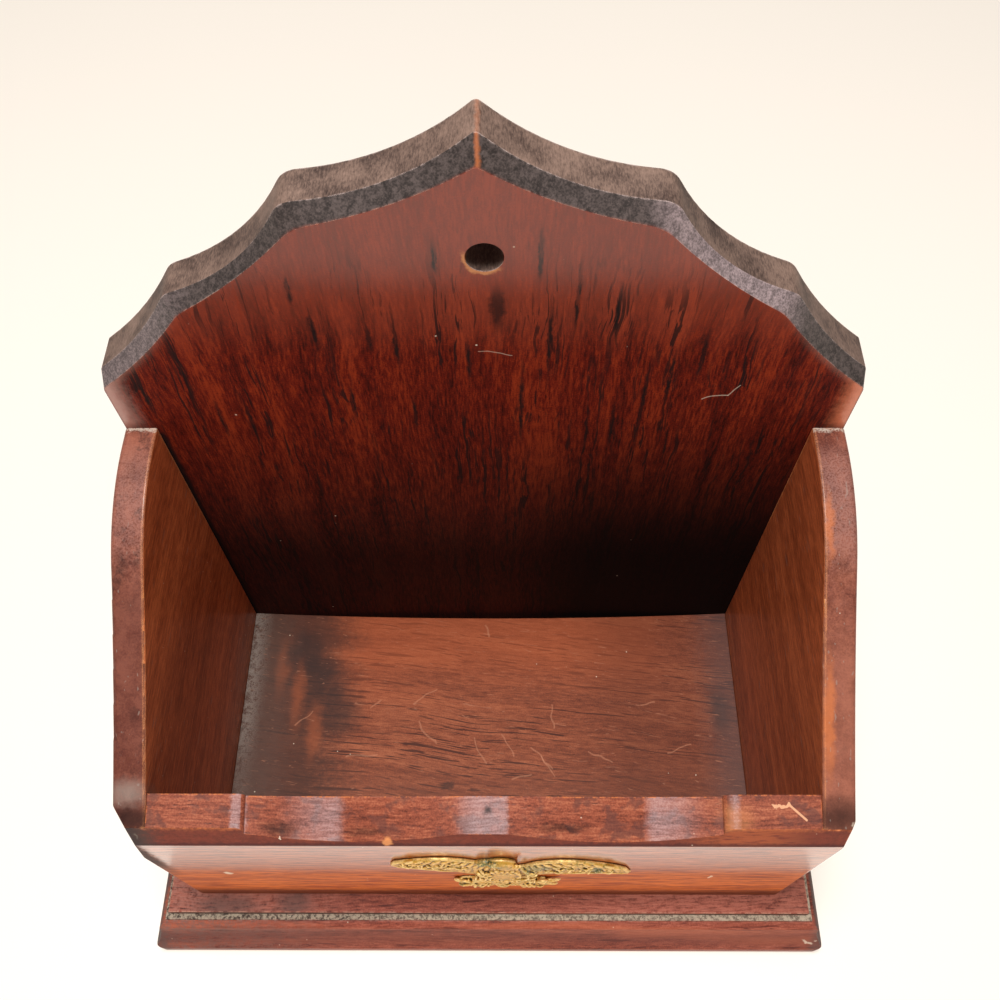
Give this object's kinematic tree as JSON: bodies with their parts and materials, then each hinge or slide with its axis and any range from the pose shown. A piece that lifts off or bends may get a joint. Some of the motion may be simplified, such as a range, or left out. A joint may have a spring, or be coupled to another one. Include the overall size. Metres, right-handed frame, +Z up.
{
  "type": "letter box",
  "caption": "Hanging wooden letter box with a scalloped back board, waved front, moulded base and a gilt eagle emblem.",
  "frame": {"origin": "middle of the underside of the base, half way between its front edge and the wall face of the back board", "axes": "+Z up, +Y towards the wall behind the box, +X to the right of someone who faces its front"},
  "size_m": [0.2194, 0.1212, 0.2398],
  "materials": {
    "stained_wood": "satin varnish over red mahogany stain, worn at the arrises",
    "gilt_metal": "old gilding with green and brown patina",
    "steel": "plain steel of the cut brads and wood screws, dulled, with spots of rust"
  },
  "bodies": {
    "root": {"base_plinth": "stained_wood", "floor_board": "stained_wood", "back_board": "stained_wood", "left_side": "stained_wood", "right_side": "stained_wood", "front_board": "stained_wood", "eagle_emblem": "gilt_metal", "back_brads": "steel", "side_brads": "steel", "base_screws": "steel"}
  },
  "joints": []
}
